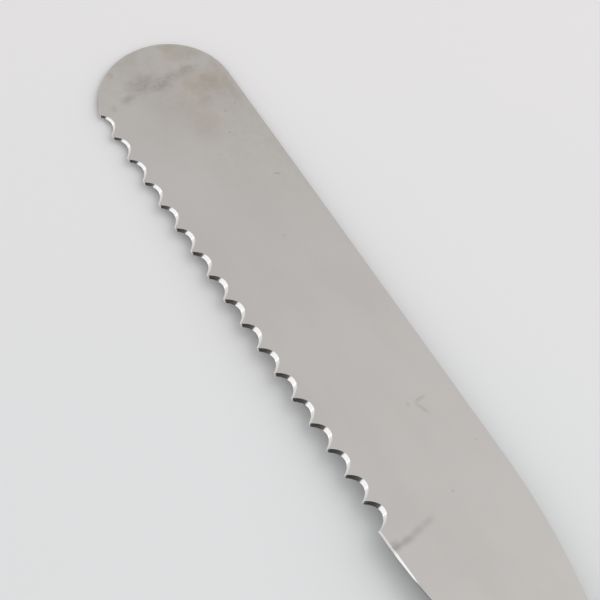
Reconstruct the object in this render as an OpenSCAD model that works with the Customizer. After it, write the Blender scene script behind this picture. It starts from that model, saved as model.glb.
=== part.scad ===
// Cheese knife: a stamped blade with a scalloped edge and a full tang,
// between two wooden handle scales that three cutler's rivets hold.
// The knife lies on its side, on the handle's flat face and the tip of the blade.
// +X points to the tip, +Y to the cutting edge and +Z up. The origin is under
// the middle of the knife, on the surface that it lies on. Sizes are in millimetres.

/* [Blade] */
// Length from the front of the handle to the tip
blade_length = 125; // [100:1:160]
// Width from the spine to the edge of the plain heel
blade_width = 22.5; // [19:0.5:30]
// Thickness of the sheet that the blade and the tang are cut from
blade_thickness = 0.5; // [0.4:0.1:2]
// Thickness that is left at the tip, where the upper face is ground away
tip_thickness = 0.25; // [0.2:0.05:0.4]
// Length of the ground part of the upper face, back from the tip
tip_grind_length = 45; // [30:1:60]
// Width of the neck where the blade runs into the handle
neck_width = 14.5; // [12:0.5:17]
// Radius of the shoulder between the spine and the neck
spine_shoulder_radius = 130; // [60:5:200]
// Radius of the shoulder between the heel and the neck
heel_shoulder_radius = 120; // [60:5:200]
// Radius of the hollow that leads each shoulder into the neck
neck_fillet_radius = 12; // [8:1:20]
// Width of the chamfer along the upper edge of the plain heel, at the last scallop
heel_chamfer = 0.15; // [0.1:0.05:0.25]
// Slant of the chamfer, which cuts deeper towards the handle until the heel draws in
heel_chamfer_slant = 2; // [0:0.1:2.5]

/* [Scalloped edge] */
// Distance between neighbouring scallops
scallop_pitch = 5; // [4:0.25:7]
// Radius of the wheel that grinds the scallops
scallop_radius = 3.2; // [2.6:0.05:4.2]
// Depth of the scallops on the lower face, halfway along their row and where the blade isn't ground
scallop_depth = 1.2; // [0.8:0.05:1.8]
// Lean of the ground hollows, which puts the sharp edge on the lower face
scallop_bevel_angle = 50; // [10:1:55]
// Slant of the row of scallops, which run a little deeper towards the heel
scallop_row_slant = 0.5; // [0:0.05:0.8]
// Distance from the tip to the middle of the first scallop
first_scallop_distance = 10.6; // [8:0.1:14]
// How far the tooth points lie inside the edge of the plain heel
tooth_setback = 0.55; // [0.1:0.05:1]
// Least length of plain heel between the handle and the last scallop
heel_length = 30; // [22:1:50]

/* [Press mark at the heel] */
// Distance from the front of the handle to the mark, at the edge
mark_distance = 28.3; // [20:0.1:45]
// Depth of the mark at the edge, where it is deepest
mark_depth = 0.05; // [0.03:0.01:0.2]
// Length of the mark from the edge to where it runs out
mark_length = 8; // [4:0.5:12]
// Radius of the mark across its length
mark_radius = 3; // [1:0.1:5]
// Slant of the mark from square to the edge
mark_slant = 9; // [0:1:20]

/* [Handle] */
// Length of the handle
handle_length = 108; // [90:1:125]
// Width of the handle at its widest
handle_width = 20; // [18:0.5:22]
// Distance from the front of the handle to its widest point
swell_distance = 58; // [45:1:70]
// Thickness of each scale at its front end
scale_front_thickness = 3.8; // [3:0.1:5]
// Radius of the rounded rims of the scales
scale_rim_radius = 2.5; // [1:0.1:3]
// Radius of the rounded front ends of the scales
scale_front_radius = 3; // [1:0.1:3]

/* [Rivets] */
// Diameter of the rivet heads
rivet_head_diameter = 7; // [6:0.1:8.5]
// Thickness of the rivet heads at their middle
rivet_head_thickness = 1.6; // [1:0.1:2]
// Outer diameter of the rivet tubes
rivet_tube_diameter = 4.8; // [4:0.1:5.5]
// Diameter of the rivet studs
rivet_stud_diameter = 3.2; // [2:0.1:3.6]
// Distance from the front of the handle to the front rivet
front_rivet_distance = 16; // [12:1:25]
// Distance from the butt of the handle to the rear rivet
rear_rivet_distance = 18; // [14:1:28]

/* [Fits] */
// Gap between a rivet and the hole that it fits, on each side
rivet_clearance = 0.05; // [0.02:0.01:0.2]
// Gap between a rivet stud and its tube, on each side
stud_clearance = 0.02; // [0.01:0.01:0.1]
// Gap left at the end of a tube and of a stud, so that the heads seat first
rivet_end_gap = 0.4; // [0.1:0.1:0.8]

/* [Hidden] */

// Colours of the steel, the wood and the brass
steel_colour = [0.72, 0.70, 0.68];
wood_colour = [0.36, 0.21, 0.12];
brass_colour = [0.78, 0.62, 0.34];

// Sides of small round shapes and of very large ones
$fn = 96;
large_fn = 1440;

// Overlap that cutters have past the faces that they cut
cut_margin = 1;

// Overlap of arcs that lead into each other
blend_overlap = 0.02;

// Slope of the handle's flat faces: the lower one, carried on, meets the tip
tilt = atan(scale_front_thickness / blade_length);
scale_butt_thickness = (blade_length + handle_length) * tan(tilt);
knife_reach = (blade_length + handle_length) * cos(tilt) - blade_thickness * sin(tilt);

// Tip: a half circle from the spine to the line of the tooth points
half_width = blade_width / 2;
tooth_line = half_width - tooth_setback;
tip_radius = (half_width + tooth_line) / 2;
tip_centre = [blade_length - tip_radius, tooth_line - tip_radius];

// Ground part of the upper face: where it starts and its slope
tip_grind_start = blade_length - tip_grind_length;
tip_grind_angle = atan((blade_thickness - tip_thickness) / tip_grind_length);

// Scallops: a row from the tip to the heel, and the line of the wheel's axis on the lower face
first_scallop_x = blade_length - first_scallop_distance;
scallop_count = floor((first_scallop_x + scallop_pitch / 2 - heel_length) / scallop_pitch);
last_scallop_x = first_scallop_x - (scallop_count - 1) * scallop_pitch;
scallop_row_middle = (first_scallop_x + last_scallop_x) / 2;
scallop_axis_line = tooth_line - scallop_depth + scallop_radius / cos(scallop_bevel_angle);

// Shoulders: each drops from the blade's side to the neck
shoulder_drop = half_width - neck_width / 2;

// Handle outline: two long arcs and a round butt that nearly meets them smoothly
handle_swell = (handle_width - neck_width) / 2;
side_radius = (pow(swell_distance, 2) + pow(handle_swell, 2)) / (2 * handle_swell);
side_offset = side_radius - handle_width / 2;
butt_run = handle_length - swell_distance;
butt_ease = 0.4;
butt_radius = (pow(side_radius, 2) - pow(side_offset, 2) - pow(butt_run, 2))
    / (2 * (side_radius - butt_run)) + butt_ease;
butt_centre = butt_radius - handle_length;

// Rivets: one near each end of the handle and one halfway between them, in holes with some room
rivet_hole_diameter = rivet_tube_diameter + 2 * rivet_clearance;
front_rivet_x = -front_rivet_distance;
rear_rivet_x = rear_rivet_distance - handle_length;
middle_rivet_x = (front_rivet_x + rear_rivet_x) / 2;
rivet_places = [front_rivet_x, middle_rivet_x, rear_rivet_x];

// Length of a shoulder along the blade, for the radius of its rounded part
function shoulder_run(radius) =
    sqrt(shoulder_drop * (2 * (radius + neck_fillet_radius) - shoulder_drop));

// How much is ground off the upper face at a place along the knife
function grind_drop(x) = max(0, x - tip_grind_start) * tan(tip_grind_angle);

// Thickness of a scale at a place along the knife
function scale_thickness(x) = (blade_length - x) * tan(tilt);

// Height of the seat under a rivet's head, from the middle of the sheet
function rivet_seat(x) = blade_thickness / 2 + scale_thickness(x) - rivet_head_thickness;

// Lays the knife down: from the frame of the flat blade to the surface that it lies on
module lay_down() {
    translate([knife_reach / 2, 0, 0])
        rotate([0, tilt, 0])
            translate([-blade_length, 0, blade_thickness / 2])
                children();
}

// Puts a shape on the handle's lower flat face, with z = 0 on that face
module on_lower_face() {
    translate([0, 0, -blade_thickness / 2 - scale_front_thickness])
        rotate([0, -tilt, 0])
            children();
}

// What is cut away beside one shoulder and the hollow of the neck, below y = 0
module shoulder_cut(radius) {
    run = shoulder_run(radius);
    turn = run * neck_fillet_radius / (radius + neck_fillet_radius);
    translate([0, -neck_width / 2 - neck_fillet_radius])
        circle(neck_fillet_radius);
    difference() {
        translate([turn, -half_width - cut_margin])
            square([run - turn, half_width]);
        translate([run, radius - half_width - blend_overlap])
            circle(radius, $fn = large_fn);
    }
}

// Outline of the handle, and of the tang inside it
module handle_outline() {
    intersection() {
        intersection_for (side = [-1, 1])
            translate([-swell_distance, side * side_offset])
                circle(side_radius, $fn = large_fn);
        union() {
            translate([butt_centre, -handle_width])
                square([-butt_centre, 2 * handle_width]);
            translate([butt_centre, 0])
                circle(butt_radius);
        }
    }
}

// Flat outline of the blade and the tang before the edge is ground
module blade_outline() {
    difference() {
        union() {
            translate(tip_centre)
                circle(tip_radius);
            translate([-cut_margin, -half_width])
                square([tip_centre.x + cut_margin, half_width + tooth_line]);
            translate([-cut_margin, 0])
                square([last_scallop_x + cut_margin, half_width]);
            handle_outline();
        }
        shoulder_cut(spine_shoulder_radius);
        mirror([0, 1])
            shoulder_cut(heel_shoulder_radius);
    }
}

// What is ground off the upper face, so that the blade thins towards its tip
module tip_grind() {
    translate([tip_grind_start, -blade_width, blade_thickness / 2])
        rotate([0, tip_grind_angle, 0])
            translate([-cut_margin, 0, 0])
                cube([tip_grind_length + 2 * cut_margin, 2 * blade_width, blade_thickness]);
}

// One leaning cutter of the scalloped edge, at a place along the knife.
// Where the blade is thinner it goes deeper, so that its rim on the upper face stays in line.
module scallop_cutter(x) {
    reach = blade_thickness + scallop_radius;
    slant_depth = (scallop_row_middle - x) * tan(scallop_row_slant);
    grind_depth = grind_drop(x) * tan(scallop_bevel_angle);
    translate([x, scallop_axis_line - slant_depth - grind_depth, -blade_thickness / 2])
        rotate([scallop_bevel_angle, 0, 0])
            translate([0, 0, -reach])
                cylinder(h = 3 * reach, r = scallop_radius);
}

// What is cut off along the upper edge of the plain heel, back from the last scallop
module heel_chamfer_cut() {
    reach = heel_chamfer + cut_margin;
    translate([last_scallop_x, half_width - heel_chamfer, blade_thickness / 2])
        rotate([0, 0, heel_chamfer_slant])
            rotate([-45, 0, 0])
                translate([-last_scallop_x, -reach, 0])
                    cube([last_scallop_x + cut_margin, 2 * reach, reach]);
}

// Shallow press mark on the upper face, deepest at the edge of the heel
module press_mark() {
    translate([mark_distance, half_width, blade_thickness / 2 + mark_radius - mark_depth])
        rotate([0, 0, mark_slant])
            rotate([90 - atan(mark_depth / mark_length), 0, 0])
                translate([0, 0, -mark_radius])
                    cylinder(h = mark_length + 2 * mark_radius, r = mark_radius);
}

// Blade and tang in one sheet, with the ground edge and the rivet holes
module blade() {
    color(steel_colour)
        lay_down()
            difference() {
                translate([0, 0, -blade_thickness / 2])
                    linear_extrude(blade_thickness)
                        blade_outline();
                tip_grind();
                for (i = [0 : scallop_count - 1])
                    scallop_cutter(first_scallop_x - i * scallop_pitch);
                heel_chamfer_cut();
                press_mark();
                for (x = rivet_places)
                    translate([x, 0, -blade_thickness / 2 - cut_margin])
                        cylinder(h = blade_thickness + 2 * cut_margin, d = rivet_hole_diameter);
            }
}

// Disc with a rounded lower rim, as the profile of one side of a scale
module rounded_disc(radius, height) {
    rotate_extrude($fn = large_fn)
        union() {
            square([radius - scale_rim_radius, height]);
            translate([0, scale_rim_radius])
                square([radius, height - scale_rim_radius]);
            translate([radius - scale_rim_radius, scale_rim_radius])
                circle(scale_rim_radius);
        }
}

// Side view of a scale's blank, rounded at the front, across the whole handle
module scale_side(height) {
    rotate([90, 0, 0])
        linear_extrude(2 * handle_width, center = true)
            union() {
                translate([-2 * handle_length, 0])
                    square([2 * handle_length - scale_front_radius, height]);
                translate([-2 * handle_length, scale_front_radius])
                    square([2 * handle_length, height - scale_front_radius]);
                translate([-scale_front_radius, scale_front_radius])
                    circle(scale_front_radius);
            }
}

// Blank of a scale on its flat face, before the side towards the tang is cut
module scale_blank() {
    height = scale_butt_thickness + cut_margin;
    translate([scale_butt_thickness * tan(tilt), 0, 0])
        intersection() {
            intersection_for (side = [-1, 1])
                translate([-swell_distance, side * side_offset, 0])
                    rounded_disc(side_radius, height);
            union() {
                translate([butt_centre, -handle_width, 0])
                    cube([-butt_centre + cut_margin, 2 * handle_width, height]);
                translate([butt_centre, 0, 0])
                    rounded_disc(butt_radius, height);
            }
        }
}

// Hole through a scale for a rivet, wider at the outside for its head
module rivet_hole(x) {
    seat = rivet_seat(x);
    depth = scale_butt_thickness + blade_thickness + cut_margin;
    translate([x, 0, -depth])
        cylinder(h = depth, d = rivet_hole_diameter);
    translate([x, 0, -depth])
        cylinder(h = depth - seat, d = rivet_head_diameter + 2 * rivet_clearance);
}

// Lower scale in the frame of the blade, with its inner side flat on the tang
module handle_scale() {
    difference() {
        intersection() {
            on_lower_face() scale_blank();
            on_lower_face() scale_side(scale_butt_thickness + cut_margin);
            translate([-2 * handle_length, -handle_width, -blade_thickness / 2 - 2 * scale_butt_thickness])
                cube([2 * handle_length + cut_margin, 2 * handle_width, 2 * scale_butt_thickness]);
        }
        for (x = rivet_places)
            rivet_hole(x);
    }
}

module upper_scale() {
    color(wood_colour)
        lay_down()
            mirror([0, 0, 1])
                handle_scale();
}

module lower_scale() {
    color(wood_colour)
        lay_down()
            handle_scale();
}

// Head of a rivet, ground flush with the lower flat face
module rivet_head(x) {
    seat = rivet_seat(x);
    depth = scale_thickness(x) + blade_thickness;
    intersection() {
        translate([x, 0, -depth])
            cylinder(h = depth - seat, d = rivet_head_diameter);
        on_lower_face()
            translate([-handle_length, -handle_width, 0])
                cube([handle_length, 2 * handle_width, 2 * scale_butt_thickness]);
    }
}

// Socket half of a rivet: a head below and a tube that is open at the top
module rivet_socket(x) {
    seat = rivet_seat(x);
    color(brass_colour)
        lay_down()
            union() {
                rivet_head(x);
                translate([x, 0, -seat])
                    difference() {
                        cylinder(h = 2 * seat - rivet_end_gap, d = rivet_tube_diameter);
                        cylinder(h = 2 * seat, d = rivet_stud_diameter + 2 * stud_clearance);
                    }
            }
}

// Stud half of a rivet: a head above and a solid shank that fills the tube
module rivet_stud(x) {
    seat = rivet_seat(x);
    color(brass_colour)
        lay_down()
            mirror([0, 0, 1])
                union() {
                    rivet_head(x);
                    translate([x, 0, -seat])
                        cylinder(h = 2 * seat - rivet_end_gap, d = rivet_stud_diameter);
                }
}

module front_rivet_socket() { rivet_socket(front_rivet_x); }
module front_rivet_stud() { rivet_stud(front_rivet_x); }
module middle_rivet_socket() { rivet_socket(middle_rivet_x); }
module middle_rivet_stud() { rivet_stud(middle_rivet_x); }
module rear_rivet_socket() { rivet_socket(rear_rivet_x); }
module rear_rivet_stud() { rivet_stud(rear_rivet_x); }

blade();
upper_scale();
lower_scale();
front_rivet_socket();
front_rivet_stud();
middle_rivet_socket();
middle_rivet_stud();
rear_rivet_socket();
rear_rivet_stud();
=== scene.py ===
# Looks of the cheese knife: steel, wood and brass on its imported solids, in metres.
import math

import bpy
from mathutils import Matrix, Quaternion, Vector


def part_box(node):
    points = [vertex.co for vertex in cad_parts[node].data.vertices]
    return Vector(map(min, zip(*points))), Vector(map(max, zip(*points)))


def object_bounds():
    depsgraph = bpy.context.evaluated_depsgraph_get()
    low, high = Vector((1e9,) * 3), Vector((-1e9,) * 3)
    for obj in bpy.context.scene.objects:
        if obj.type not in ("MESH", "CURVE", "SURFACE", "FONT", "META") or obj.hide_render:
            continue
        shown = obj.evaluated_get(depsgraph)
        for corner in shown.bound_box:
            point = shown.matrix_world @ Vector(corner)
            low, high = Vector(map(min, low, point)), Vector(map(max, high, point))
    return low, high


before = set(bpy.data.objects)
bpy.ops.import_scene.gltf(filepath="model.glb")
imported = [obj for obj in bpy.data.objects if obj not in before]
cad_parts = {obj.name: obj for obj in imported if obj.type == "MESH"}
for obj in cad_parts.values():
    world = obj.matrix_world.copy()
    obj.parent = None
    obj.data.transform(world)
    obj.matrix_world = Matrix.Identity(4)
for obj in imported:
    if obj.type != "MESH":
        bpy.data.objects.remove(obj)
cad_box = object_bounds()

MM = 0.001

# Places along the knife, from the frame
tip_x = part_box("blade")[1].x
butt_x = cad_box[0].x

# Camera: the point in the middle of the picture, where it is seen from, and the lens in millimetres
TARGET = Vector((62.2, 1.2, 2.9)) * MM
DISTANCE = 0.4187
AZIMUTH = -124.13
ELEVATION = 58.78
ROLL = -4.05
LENS = 167.2
SENSOR_WIDTH = 36.0
CLIP_NEAR = 0.01
CLIP_FAR = 20.0

# Sky: the tones that are seen and reflected, where they start to rise, and the even light that it gives
SKY_COLOUR = (1.0, 0.995, 1.0)
HORIZON_TONE = 0.74
ZENITH_TONE = 0.92
SKY_RISE = 0.6
AMBIENT_TONE = 0.757

# Floor: its near and far tones, the way from one to the other, its size, and how low it lies and falls
FLOOR_NEAR_COLOUR = (0.778, 0.796, 0.797)
FLOOR_FAR_COLOUR = (0.814, 0.803, 0.806)
FLOOR_AWAY = (0.828, -0.562, 0.0)
FLOOR_NEAR = -10 * MM
FLOOR_FAR = 110 * MM
FLOOR_SIZE = 6.0
FLOOR_DROP = 0.02 * MM
FLOOR_FALL = 0.4 * MM

# Lamps: a large one on the spine's side and a small low one past the tip, with their power in watts
KEY_LAMP = {"place": (-0.225, -0.79, 0.56), "size": (1.35, 1.35), "power": 5.19}
SIDE_PANEL = {"place": (0.73, 0.44, 0.12), "size": (0.4, 0.3), "power": 0.22}

# Cards on the edge's side that only reflections see, with the tone of their colour and their own glow
LEFT_CARD = {
    "place": (0.33, 0.755, 0.27),
    "size": (0.9, 0.58),
    "facing": (-0.268, -0.754, -0.267),
    "tone": 0.0,
    "glow": 1.56,
}
DARK_CARD = {
    "place": (-0.076, 0.230, 0.012),
    "size": (0.40, 0.26),
    "facing": (0.664, -0.748, 0.0),
    "roll": 24,
    "tone": 0.02,
    "glow": 0.0,
}
WHITE_CARD = {
    "place": (0.082, 0.0339, 0.01 * MM),
    "size": (0.116, 0.0478),
    "facing": (0.0, 0.0, 1.0),
    "tone": 0.0,
    "glow": 1.0,
}

# Parts of a noise's values that are spread over a tone or a roughness
NARROW_RANGE = (0.3, 0.7)
WIDE_RANGE = (0.2, 0.8)

# Steel: colours, roughness and brushing, with faces told from ground edges by how level they are
STEEL_COLOUR = (0.557, 0.537, 0.515)
STEEL_TONES = (0.975, 1.025)
EDGE_COLOUR = (0.575, 0.572, 0.568)
FACE_ROUGHNESS = (0.28, 0.33)
EDGE_ROUGHNESS = 0.17
FACE_LEVEL = 0.97
EDGE_LEVEL = 0.90
BRUSHING_DEPTH = 0.001 * MM
BRUSHING_STRENGTH = 0.15

# Haze: it deepens towards the tip and the spine, between two distances from the tip on the middle line
HAZE_DIRECTION = (1.0, -1.4, 0.0)
HAZE_START = 34 * MM
HAZE_END = 2 * MM

# Grain of the steel's noises, in waves to the metre along each axis, and where each one shows
CLOUD_GRAIN = (60, 140, 140)
BRUSHED_GRAIN = (120, 9000, 9000)
MOTTLE_SCALE = 800.0
MOTTLE_RANGE = {"low": 0.42, "high": 0.62}
PATCH_GRAIN = (900, 500, 500)
PATCH_RANGE = {"low": 0.35, "high": 0.65, "to_low": 0.75}
STREAK_GRAIN = (2400, 700, 700)
STREAK_RANGE = {"low": 0.38, "high": 0.60, "to_low": 0.5}

# How unevenly the outlines of the stains and of the specks run
STAIN_WOBBLE = {"scale": 900.0, "amount": 1.6 * MM}
SPECK_WOBBLE = {"scale": 2500.0, "amount": 0.3 * MM}

# Tints by which haze, stains and marks multiply the steel's colour; the crease's and the heel's are
# painted shade
HAZE_TINT = (0.955, 0.94, 0.92)
MOTTLE_TINT = (0.955, 0.96, 0.94)
SHADE_TINT = (0.86, 0.85, 0.81)
BROWN_TINT = (0.87, 0.82, 0.76)
SMEAR_TINT = (0.755, 0.73, 0.715)
SPECK_TINT = (0.72, 0.70, 0.68)
CREASE_PAINTED_SHADE_TINT = (0.73, 0.73, 0.73)
HEEL_PAINTED_SHADE_TINT = (0.50, 0.50, 0.50)

# Marks: mm from the tip and from the middle towards the edge, half length and width, degrees, depth
SMEARS = [
    (8.0, 5.0, 2.0, 1.5, 105, 0.8),
    (6.5, 2.0, 4.0, 3.0, 95, 0.9),
    (8.0, -0.5, 3.0, 2.0, 90, 0.9),
    (7.5, -3.0, 3.0, 1.5, 95, 0.8),
    (7.5, -5.5, 3.0, 1.5, 90, 0.9),
]
BROWN_STAINS = [
    (11.0, -5.5, 4.0, 3.0, 0, 0.9),
    (10.5, -7.5, 4.0, 2.0, 30, 0.9),
    (14.0, -5.0, 3.0, 2.5, 165, 0.9),
    (18.0, -3.0, 6.5, 4.5, 160, 0.6),
    (14.5, -2.0, 9.5, 9.0, 0, 0.35),
    (4.0, -5.5, 3.0, 2.0, 45, 0.7),
    (8.5, 8.0, 1.0, 0.8, 30, 1.0),
    (2.5, 5.5, 1.0, 0.8, 0, 1.0),
]
TIP_SHADE = [
    (12.0, -8.5, 4.5, 3.5, 170, 0.7),
    (12.5, -10.0, 7.0, 1.5, 0, 0.8),
    (2.0, -5.5, 3.0, 1.5, 60, 0.9),
    (1.5, 3.0, 4.5, 2.0, 105, 0.4),
    (4.5, -8.0, 3.0, 2.0, 45, 0.7),
]
SPECKS = [
    (17.5, -7.0, 0.30, 0.25, 0, 0.8),
    (17.0, -9.0, 0.25, 0.20, 0, 0.6),
    (21.5, -5.5, 0.30, 0.20, 60, 0.9),
    (25.5, -3.5, 0.20, 0.20, 0, 0.5),
    (24.5, -2.0, 0.20, 0.20, 0, 0.5),
    (32.0, -8.0, 0.90, 0.15, 60, 0.8),
    (42.5, -3.0, 0.55, 0.15, 110, 0.6),
    (77.5, -5.5, 1.50, 0.50, 100, 0.4),
    (79.0, -5.0, 2.00, 0.45, 20, 0.4),
    (77.5, -3.5, 0.60, 0.45, 0, 0.3),
    (87.5, -9.0, 0.30, 0.20, 0, 0.5),
    (93.0, -1.5, 0.35, 0.25, 0, 0.5),
]
# Painted shade along the crease pressed into the heel, darkening it as its bend would
CREASE_PAINTED_SHADE = [
    (96.5, 10.5, 2.0, 1.3, 85, 1.0),
    (96.5, 8.5, 2.4, 1.1, 95, 0.8),
    (96.0, 6.5, 2.4, 1.0, 105, 0.6),
    (95.5, 4.5, 2.2, 0.9, 105, 0.45),
]
# Painted shade on the heel's ground edge, dimming its bright reflection at the start and towards the
# handle
HEEL_PAINTED_SHADE = [
    (95.0, 11.0, 3.0, 1.6, 0, 0.55),
    (107.0, 10.6, 5.2, 2.0, 0, 1.0),
]

# Wood: its bands, the warm tone that clouds them, its pores, and the rounding of its sharp edges
DARK_BAND = (0.150, 0.072, 0.036)
LIGHT_BAND = (0.330, 0.182, 0.096)
BAND_GRAIN = (14, 190, 120)
BAND_TURN = (0.5, 0.0, 0.03)  # in radians
BAND_SHAPE = {"Scale": 0.45, "Distortion": 5.0, "Detail": 3.0, "Detail Scale": 0.8}
WARM_TONE = (0.255, 0.130, 0.062)
WARM_GRAIN = (9, 60, 60)
PORE_COLOUR = (0.070, 0.034, 0.018)
PORE_GRAIN = (140, 3600, 3600)
PORE_RANGE = (0.40, 0.32)
PORE_STRENGTH = 0.65
PORE_DEPTH = 0.03 * MM
PORE_BUMP = 0.5
WOOD_ROUGHNESS = (0.52, 0.40)
UPPER_WOOD_SHIFT = (0.0, 0.0, 0.0)
LOWER_WOOD_SHIFT = (0.31, 0.12, 0.05)
WOOD_ROUNDING = 0.15 * MM
ROUNDING_SEGMENTS = 2
ROUNDED_ANGLE = 50
WELD_DISTANCE = 0.001 * MM

# Brass: two tones that cloud into each other, its roughness and its fine brushing
BRASS_LIGHT = (0.72, 0.52, 0.25)
BRASS_DARK = (0.66, 0.47, 0.21)
BRASS_CLOUD_SCALE = 700.0
BRASS_CLOUD_RANGE = (0.3, 0.75)
BRASS_ROUGHNESS = (0.22, 0.36)
BRASS_GRAIN = (400, 9000, 9000)
BRASS_BRUSHING_DEPTH = 0.002 * MM
BRASS_BRUSHING_STRENGTH = 0.4


def add_node(tree, kind, **settings):
    """A new node in a tree, with its settings."""
    node = tree.nodes.new(kind)
    for name, value in settings.items():
        setattr(node, name, value)
    return node


def feed(tree, socket, value):
    """Links a socket into another one, or sets a plain value on it."""
    if isinstance(value, bpy.types.NodeSocket):
        tree.links.new(value, socket)
    else:
        socket.default_value = value


def calculate(tree, operation, first, second=0.0, clamp=False):
    """The result of one sum, product or the like."""
    node = add_node(tree, "ShaderNodeMath", operation=operation, use_clamp=clamp)
    feed(tree, node.inputs[0], first)
    feed(tree, node.inputs[1], second)
    return node.outputs[0]


def remap(tree, value, low, high, to_low=0.0, to_high=1.0):
    """Takes a value from one range smoothly to another."""
    node = add_node(tree, "ShaderNodeMapRange", interpolation_type="SMOOTHSTEP")
    for socket, number in zip(node.inputs, (value, low, high, to_low, to_high)):
        feed(tree, socket, number)
    return node.outputs[0]


def mix_number(tree, factor, first, second):
    """A number between two others."""
    node = add_node(tree, "ShaderNodeMix", data_type="FLOAT")
    feed(tree, node.inputs["Factor"], factor)
    feed(tree, node.inputs["A"], first)
    feed(tree, node.inputs["B"], second)
    return node.outputs["Result"]


def mix_colour(tree, factor, first, second, blend="MIX"):
    """A colour between two others, or the first one blended with the second."""
    node = add_node(tree, "ShaderNodeMix", data_type="RGBA", blend_type=blend)
    feed(tree, node.inputs["Factor"], factor)
    for name, colour in (("A", first), ("B", second)):
        socket = next(s for s in node.inputs if s.name == name and s.type == "RGBA")
        feed(tree, socket, colour if isinstance(colour, bpy.types.NodeSocket) else (*colour, 1.0))
    return next(s for s in node.outputs if s.type == "RGBA")


def stretched(tree, place, scale, location=(0.0, 0.0, 0.0), rotation=(0.0, 0.0, 0.0), kind="POINT"):
    """A place that is scaled, turned and moved."""
    node = add_node(tree, "ShaderNodeMapping", vector_type=kind)
    feed(tree, node.inputs["Vector"], place)
    node.inputs["Location"].default_value = location
    node.inputs["Rotation"].default_value = rotation
    node.inputs["Scale"].default_value = scale
    return node.outputs[0]


def noise(tree, place, scale, detail=3.0, roughness=0.5, colour=False):
    """Noise of one scale in every direction, as a number or as a colour."""
    node = add_node(tree, "ShaderNodeTexNoise")
    feed(tree, node.inputs["Vector"], place)
    node.inputs["Scale"].default_value = scale
    node.inputs["Detail"].default_value = detail
    node.inputs["Roughness"].default_value = roughness
    return node.outputs["Color" if colour else "Fac"]


def stretched_noise(tree, place, grain, detail, roughness=0.5):
    """Noise with its own number of waves along each axis."""
    return noise(tree, stretched(tree, place, grain), 1.0, detail, roughness)


def bump(tree, height, distance, strength):
    """A normal that follows a height."""
    node = add_node(tree, "ShaderNodeBump")
    node.inputs["Strength"].default_value = strength
    node.inputs["Distance"].default_value = distance
    feed(tree, node.inputs["Height"], height)
    return node.outputs[0]


def new_material(name):
    """An empty material, with its node tree, its shader and the place on the object."""
    material = bpy.data.materials.new(name)
    material.use_nodes = True
    tree = material.node_tree
    tree.nodes.clear()
    output = add_node(tree, "ShaderNodeOutputMaterial")
    shader = add_node(tree, "ShaderNodeBsdfPrincipled")
    tree.links.new(shader.outputs[0], output.inputs["Surface"])
    place = add_node(tree, "ShaderNodeTexCoord").outputs["Object"]
    return material, tree, shader, place


def upward(tree):
    """The upward part of the surface's normal, from -1 to 1."""
    normal = add_node(tree, "ShaderNodeNewGeometry").outputs["Normal"]
    split = add_node(tree, "ShaderNodeSeparateXYZ")
    tree.links.new(normal, split.inputs[0])
    return split.outputs["Z"]


def wobbled(tree, place, scale, amount):
    """A place that noise has moved about, for uneven outlines."""
    centred = stretched(tree, place, (1, 1, 1), location=(-amount / 2, -amount / 2, -amount / 2))
    node = add_node(tree, "ShaderNodeVectorMath", operation="MULTIPLY_ADD")
    feed(tree, node.inputs[0], noise(tree, place, scale, detail=4.0, colour=True))
    node.inputs[1].default_value = (amount, amount, amount)
    feed(tree, node.inputs[2], centred)
    return node.outputs[0]


def distance_along(tree, place, direction):
    """How far a place lies along a direction."""
    node = add_node(tree, "ShaderNodeVectorMath", operation="DOT_PRODUCT")
    feed(tree, node.inputs[0], place)
    node.inputs[1].default_value = direction
    return node.outputs["Value"]


def mark_mask(tree, place, marks, softness):
    """Where soft oval marks lie on the blade, each as deep as it says."""
    mask = 0.0
    for from_tip, across, half_length, half_width, turn, depth in marks:
        centre = (tip_x - from_tip * MM, across * MM, 0.0)
        size = (half_length * MM, half_width * MM, 1.0)
        local = stretched(tree, place, size, centre, (0.0, 0.0, math.radians(turn)), "TEXTURE")
        away = add_node(tree, "ShaderNodeVectorMath", operation="LENGTH")
        feed(tree, away.inputs[0], local)
        spot = remap(tree, away.outputs["Value"], 1.0, 1.0 - softness, 0.0, depth)
        mask = calculate(tree, "MAXIMUM", mask, spot)
    return mask


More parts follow.
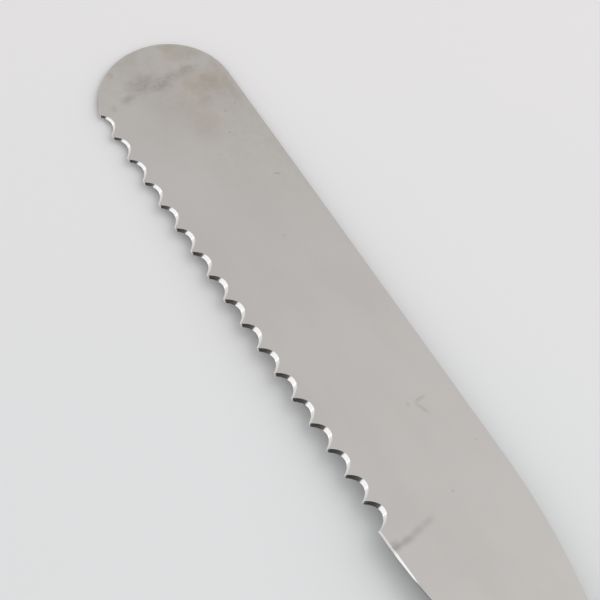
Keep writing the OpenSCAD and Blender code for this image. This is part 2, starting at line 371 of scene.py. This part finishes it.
def stains_and_painted_shade(tree, place, colour, top, edge):
    """The steel's colour with its haze, stains and marks, and painted shade on the crease and on the
    heel's edge, on the upper face or on the edges.
    """
    uneven = wobbled(tree, place, **STAIN_WOBBLE)
    along = distance_along(tree, uneven, HAZE_DIRECTION)
    haze = remap(tree, along, tip_x - HAZE_START, tip_x - HAZE_END)
    mottles = remap(tree, noise(tree, uneven, MOTTLE_SCALE, detail=4.0, roughness=0.6), **MOTTLE_RANGE)
    patches = remap(tree, stretched_noise(tree, place, PATCH_GRAIN, detail=5.0), **PATCH_RANGE)
    streak_noise = stretched_noise(tree, uneven, STREAK_GRAIN, detail=4.0, roughness=0.6)
    streaks = remap(tree, streak_noise, **STREAK_RANGE)
    browns = mark_mask(tree, uneven, BROWN_STAINS, softness=1.0)
    smears = mark_mask(tree, uneven, SMEARS, softness=0.9)
    specks = mark_mask(tree, wobbled(tree, place, **SPECK_WOBBLE), SPECKS, softness=0.7)
    layers = [
        (haze, top, HAZE_TINT),
        (calculate(tree, "MULTIPLY", haze, mottles), top, MOTTLE_TINT),
        (mark_mask(tree, uneven, TIP_SHADE, softness=1.0), top, SHADE_TINT),
        (calculate(tree, "MULTIPLY", browns, patches), top, BROWN_TINT),
        (calculate(tree, "MULTIPLY", smears, streaks), top, SMEAR_TINT),
        (specks, top, SPECK_TINT),
        # The last two layers are painted shade: on the heel's crease, and on the heel's ground edge
        (mark_mask(tree, place, CREASE_PAINTED_SHADE, softness=0.9), top, CREASE_PAINTED_SHADE_TINT),
        (mark_mask(tree, place, HEEL_PAINTED_SHADE, softness=0.4), edge, HEEL_PAINTED_SHADE_TINT),
    ]
    for mask, area, tint in layers:
        tinted = mix_colour(tree, 1.0, colour, tint, "MULTIPLY")
        colour = mix_colour(tree, calculate(tree, "MULTIPLY", mask, area), colour, tinted)
    return colour


def steel():
    """Brushed sheet steel with plain ground edges."""
    material, tree, shader, place = new_material("satin_steel")
    up = upward(tree)
    edge = remap(tree, calculate(tree, "ABSOLUTE", up), FACE_LEVEL, EDGE_LEVEL)
    top = remap(tree, up, EDGE_LEVEL, FACE_LEVEL)
    cloud = stretched_noise(tree, place, CLOUD_GRAIN, detail=4.0)
    tone = remap(tree, cloud, *NARROW_RANGE, *STEEL_TONES)
    colour = mix_colour(tree, 1.0, STEEL_COLOUR, tone, "MULTIPLY")
    colour = mix_colour(tree, edge, colour, EDGE_COLOUR)
    tree.links.new(stains_and_painted_shade(tree, place, colour, top, edge), shader.inputs["Base Color"])
    lines = stretched_noise(tree, place, BRUSHED_GRAIN, detail=2.0)
    face_roughness = remap(tree, lines, *WIDE_RANGE, *FACE_ROUGHNESS)
    tree.links.new(mix_number(tree, edge, face_roughness, EDGE_ROUGHNESS), shader.inputs["Roughness"])
    shader.inputs["Metallic"].default_value = 1.0
    tree.links.new(bump(tree, lines, BRUSHING_DEPTH, BRUSHING_STRENGTH), shader.inputs["Normal"])
    return material


def wood(name, shift):
    """Oiled wood with bands along the handle and fine open pores."""
    material, tree, shader, place = new_material(name)
    moved = stretched(tree, place, (1, 1, 1), location=shift)
    bands = add_node(tree, "ShaderNodeTexWave", wave_type="BANDS", bands_direction="Y")
    feed(tree, bands.inputs["Vector"], stretched(tree, moved, BAND_GRAIN, rotation=BAND_TURN))
    for socket, value in BAND_SHAPE.items():
        bands.inputs[socket].default_value = value
    banded = mix_colour(tree, bands.outputs["Fac"], DARK_BAND, LIGHT_BAND)
    warmth = remap(tree, stretched_noise(tree, moved, WARM_GRAIN, detail=2.0), *NARROW_RANGE)
    warm = mix_colour(tree, warmth, banded, WARM_TONE)
    pores = stretched_noise(tree, moved, PORE_GRAIN, detail=2.0)
    open_pores = calculate(tree, "MULTIPLY", remap(tree, pores, *PORE_RANGE), PORE_STRENGTH)
    tree.links.new(mix_colour(tree, open_pores, warm, PORE_COLOUR), shader.inputs["Base Color"])
    tree.links.new(remap(tree, pores, *NARROW_RANGE, *WOOD_ROUGHNESS), shader.inputs["Roughness"])
    tree.links.new(bump(tree, pores, PORE_DEPTH, PORE_BUMP), shader.inputs["Normal"])
    return material


def brass():
    """Brushed brass of the rivets."""
    material, tree, shader, place = new_material("satin_brass")
    cloud = remap(tree, noise(tree, place, BRASS_CLOUD_SCALE), *BRASS_CLOUD_RANGE)
    tree.links.new(mix_colour(tree, cloud, BRASS_LIGHT, BRASS_DARK), shader.inputs["Base Color"])
    lines = stretched_noise(tree, place, BRASS_GRAIN, detail=2.0)
    tree.links.new(remap(tree, lines, *WIDE_RANGE, *BRASS_ROUGHNESS), shader.inputs["Roughness"])
    shader.inputs["Metallic"].default_value = 1.0
    brushing = bump(tree, lines, BRASS_BRUSHING_DEPTH, BRASS_BRUSHING_STRENGTH)
    tree.links.new(brushing, shader.inputs["Normal"])
    return material


def dress(node, material):
    """Gives a CAD node its material."""
    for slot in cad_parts[node].material_slots:
        slot.material = material


def soften(node, width):
    """Rounds the sharp edges of a CAD node a little."""
    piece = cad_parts[node]
    weld = piece.modifiers.new("weld", "WELD")
    weld.merge_threshold = WELD_DISTANCE
    rounding = piece.modifiers.new("rounding", "BEVEL")
    rounding.width = width
    rounding.segments = ROUNDING_SEGMENTS
    rounding.limit_method = "ANGLE"
    rounding.angle_limit = math.radians(ROUNDED_ANGLE)
    rounding.harden_normals = True


def sky_light():
    """The world: brighter overhead where it is seen or reflected, and even where it gives light."""
    world = bpy.data.worlds.new("studio")
    bpy.context.scene.world = world
    world.use_nodes = True
    tree = world.node_tree
    tree.nodes.clear()
    direction = add_node(tree, "ShaderNodeSeparateXYZ")
    tree.links.new(add_node(tree, "ShaderNodeTexCoord").outputs["Generated"], direction.inputs[0])
    sky = remap(tree, direction.outputs["Z"], SKY_RISE, 1.0, HORIZON_TONE, ZENITH_TONE)
    rays = add_node(tree, "ShaderNodeLightPath")
    shown = calculate(tree, "ADD", rays.outputs["Is Camera Ray"], rays.outputs["Is Glossy Ray"])
    shown = calculate(tree, "ADD", shown, rays.outputs["Is Transmission Ray"], clamp=True)
    background = add_node(tree, "ShaderNodeBackground")
    tree.links.new(mix_number(tree, shown, AMBIENT_TONE, sky), background.inputs["Strength"])
    background.inputs["Color"].default_value = (*SKY_COLOUR, 1.0)
    output = add_node(tree, "ShaderNodeOutputWorld")
    tree.links.new(background.outputs[0], output.inputs["Surface"])


def pale_floor():
    """A large plane just under the knife, which falls away a little from the butt to the tip."""
    bpy.ops.mesh.primitive_plane_add(size=FLOOR_SIZE, location=(0, 0, -FLOOR_DROP))
    floor = bpy.context.object
    floor.name = "floor"
    slope = FLOOR_FALL / (tip_x - butt_x)
    floor.rotation_euler.y = math.asin(slope)
    floor.location.z += butt_x * slope
    material, tree, shader, place = new_material("pale_floor")
    far = remap(tree, distance_along(tree, place, FLOOR_AWAY), FLOOR_NEAR, FLOOR_FAR)
    tree.links.new(mix_colour(tree, far, FLOOR_NEAR_COLOUR, FLOOR_FAR_COLOUR), shader.inputs["Base Color"])
    shader.inputs["Specular IOR Level"].default_value = 0.0
    floor.data.materials.append(material)


def studio_card(name, place, size, facing, tone, glow, roll=0):
    """A card beside the knife, which only shows in reflections."""
    bpy.ops.mesh.primitive_plane_add(size=1.0, location=place)
    card = bpy.context.object
    card.name = name
    card.scale = (*size, 1.0)
    card.rotation_mode = "QUATERNION"
    level = Vector(facing).to_track_quat("Z", "Y")
    card.rotation_quaternion = level @ Quaternion((0, 0, 1), math.radians(roll))
    material, _, shader, _ = new_material(name)
    shader.inputs["Base Color"].default_value = (tone, tone, tone, 1.0)
    shader.inputs["Emission Color"].default_value = (1.0, 1.0, 1.0, 1.0)
    shader.inputs["Emission Strength"].default_value = glow
    card.data.materials.append(material)
    card.visible_camera = False
    card.visible_diffuse = False
    card.visible_shadow = False


def panel_lamp(name, place, size, power):
    """A flat lamp that shines at the middle of the picture."""
    lamp = bpy.data.lights.new(name, "AREA")
    lamp.shape = "RECTANGLE"
    lamp.size = size[0]
    lamp.size_y = size[1]
    lamp.energy = power
    holder = bpy.data.objects.new(name, lamp)
    bpy.context.scene.collection.objects.link(holder)
    holder.location = place
    aim = TARGET - Vector(place)
    holder.rotation_mode = "QUATERNION"
    holder.rotation_quaternion = aim.to_track_quat("-Z", "Y")
    holder.visible_camera = False


def camera():
    """The camera at the photograph's angle."""
    data = bpy.data.cameras.new("camera")
    data.lens = LENS
    data.sensor_width = SENSOR_WIDTH
    data.clip_start = CLIP_NEAR
    data.clip_end = CLIP_FAR
    holder = bpy.data.objects.new("camera", data)
    bpy.context.scene.collection.objects.link(holder)
    turn = math.radians(AZIMUTH)
    rise = math.radians(ELEVATION)
    back = Vector((math.sin(turn) * math.cos(rise), -math.cos(turn) * math.cos(rise), math.sin(rise)))
    holder.location = TARGET + back * DISTANCE
    holder.rotation_mode = "QUATERNION"
    level = (-back).to_track_quat("-Z", "Y")
    holder.rotation_quaternion = level @ Quaternion((0, 0, 1), math.radians(-ROLL))
    bpy.context.scene.camera = holder


# Studio
bpy.context.scene.view_settings.view_transform = "Standard"
sky_light()
pale_floor()
panel_lamp("key", **KEY_LAMP)
studio_card("left_card", **LEFT_CARD)
panel_lamp("side_panel", **SIDE_PANEL)
studio_card("dark_card", **DARK_CARD)
studio_card("white_card", **WHITE_CARD)
camera()

# Knife
dress("blade", steel())
dress("upper_scale", wood("upper_wood", UPPER_WOOD_SHIFT))
dress("lower_scale", wood("lower_wood", LOWER_WOOD_SHIFT))
for node in ("upper_scale", "lower_scale"):
    soften(node, WOOD_ROUNDING)
brass_metal = brass()
for place in ("front", "middle", "rear"):
    for half in ("socket", "stud"):
        dress(f"{place}_rivet_{half}", brass_metal)
